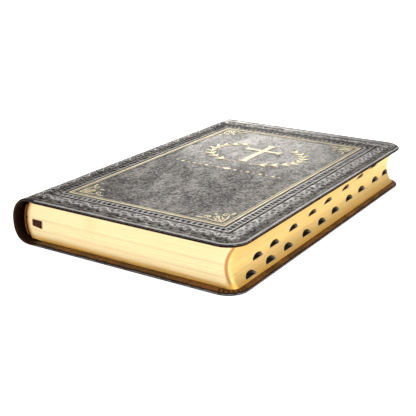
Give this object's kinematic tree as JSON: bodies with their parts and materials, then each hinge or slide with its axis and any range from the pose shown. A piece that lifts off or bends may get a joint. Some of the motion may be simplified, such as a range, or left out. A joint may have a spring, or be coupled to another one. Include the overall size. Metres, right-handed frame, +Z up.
{
  "type": "bible",
  "caption": "Thin bound book with embossed soft leather covers, rounded spine, gilt page edges, cut thumb index and ribbon marker; covers and pages open.",
  "frame": {"origin": "centre of the back cover's underside, with the book closed", "axes": "+X from the spine to the fore edge, +Y from the tail to the head, +Z up through the front cover"},
  "size_m": [0.145, 0.216, 0.027],
  "materials": {
    "cover_leather": "grey-brown imitation leather, embossed border, gold foil ornament",
    "gilt_pages": "thin paper with burnished gilt edges",
    "paper": "matt cream paper",
    "index_tabs": "black paper tabs",
    "ribbon": "dark red-brown satin",
    "board": "grey board",
    "binding_cloth": "dark brown woven cloth"
  },
  "bodies": {
    "back_cover": {"back_cover_leather": "cover_leather", "back_board": "board", "back_pastedown": "paper"},
    "rear_half": {"page_section_06": "gilt_pages", "page_section_07": "gilt_pages", "page_section_08": "gilt_pages", "page_section_09": "gilt_pages", "page_section_10": "gilt_pages", "page_section_11": "gilt_pages", "page_section_12": "gilt_pages", "page_section_13": "gilt_pages", "page_section_14": "gilt_pages", "page_section_15": "gilt_pages", "page_section_16": "gilt_pages", "page_section_17": "gilt_pages", "page_section_18": "gilt_pages", "page_section_19": "gilt_pages", "page_section_20": "gilt_pages", "index_tab_05": "index_tabs", "index_tab_06": "index_tabs", "index_tab_07": "index_tabs", "index_tab_08": "index_tabs", "index_tab_09": "index_tabs", "index_tab_10": "index_tabs", "index_tab_11": "index_tabs", "index_tab_12": "index_tabs", "index_tab_13": "index_tabs", "index_tab_14": "index_tabs", "index_tab_15": "index_tabs", "index_tab_16": "index_tabs", "index_tab_17": "index_tabs", "index_tab_18": "index_tabs", "index_tab_19": "index_tabs", "back_flyleaf": "paper", "ribbon_marker": "ribbon", "spine_mesh": "binding_cloth", "spine_lining": "board", "head_band": "binding_cloth", "tail_band": "binding_cloth", "spine_leather": "cover_leather", "spine_inlay": "board"},
    "front_half": {"page_section_01": "gilt_pages", "page_section_02": "gilt_pages", "page_section_03": "gilt_pages", "page_section_04": "gilt_pages", "page_section_05": "gilt_pages", "index_tab_01": "index_tabs", "index_tab_02": "index_tabs", "index_tab_03": "index_tabs", "index_tab_04": "index_tabs"},
    "front_cover": {"front_cover_leather": "cover_leather", "front_board": "board", "front_pastedown": "paper"},
    "front_flyleaf_body": {"front_flyleaf": "paper"},
    "ribbon_tail_body": {"ribbon_tail": "ribbon"},
    "turning_leaf_1_body": {"turning_leaf_1": "paper"},
    "turning_leaf_2_body": {"turning_leaf_2": "paper"},
    "turning_leaf_3_body": {"turning_leaf_3": "paper"}
  },
  "joints": [
    {"name": "back_cover_hinge", "type": "hinge", "parent": "back_cover", "child": "rear_half", "pos_m": [-0.06, 0, 0.0023], "axis": [0, -1, 0], "range_deg": [0, 15], "deforming": ["spine_leather", "spine_inlay", "spine_mesh", "spine_lining", "head_band", "tail_band"]},
    {"name": "middle_opening", "type": "hinge", "parent": "rear_half", "child": "front_half", "pos_m": [-0.0663, 0, 0.0142], "axis": [0, 1, 0], "range_deg": [-165, 0], "deforming": ["spine_leather", "spine_inlay", "spine_mesh", "spine_lining", "head_band", "tail_band"]},
    {"name": "front_cover_hinge", "type": "hinge", "parent": "front_half", "child": "front_cover", "pos_m": [-0.06, 0, 0.027], "axis": [0, -1, 0], "range_deg": [0, 165], "deforming": ["spine_leather", "spine_inlay", "spine_mesh", "spine_lining", "head_band", "tail_band"]},
    {"name": "front_flyleaf_turn", "type": "hinge", "parent": "front_half", "child": "front_flyleaf_body", "pos_m": [-0.06, 0, 0.0246], "axis": [0, -1, 0], "range_deg": [0, 19.8]},
    {"name": "ribbon_lift", "type": "hinge", "parent": "rear_half", "child": "ribbon_tail_body", "pos_m": [-0.0585, -0.10365, 0.01385], "axis": [-1, 0, 0], "range_deg": [0, 80]},
    {"name": "turning_leaf_1_turn", "type": "hinge", "parent": "rear_half", "child": "turning_leaf_1_body", "pos_m": [-0.0663, 0, 0.0142], "axis": [0, 1, 0], "range_deg": [-41.25, 0]},
    {"name": "turning_leaf_2_turn", "type": "hinge", "parent": "rear_half", "child": "turning_leaf_2_body", "pos_m": [-0.0663, 0, 0.0142], "axis": [0, 1, 0], "range_deg": [-82.5, 0]},
    {"name": "turning_leaf_3_turn", "type": "hinge", "parent": "rear_half", "child": "turning_leaf_3_body", "pos_m": [-0.0663, 0, 0.0142], "axis": [0, 1, 0], "range_deg": [-123.75, 0]}
  ],
  "couplings": [
    {"joint": "front_flyleaf_turn", "follows": "front_cover_hinge", "ratio": 0.12},
    {"joint": "turning_leaf_1_turn", "follows": "middle_opening", "ratio": 0.25},
    {"joint": "turning_leaf_2_turn", "follows": "middle_opening", "ratio": 0.5},
    {"joint": "turning_leaf_3_turn", "follows": "middle_opening", "ratio": 0.75}
  ]
}
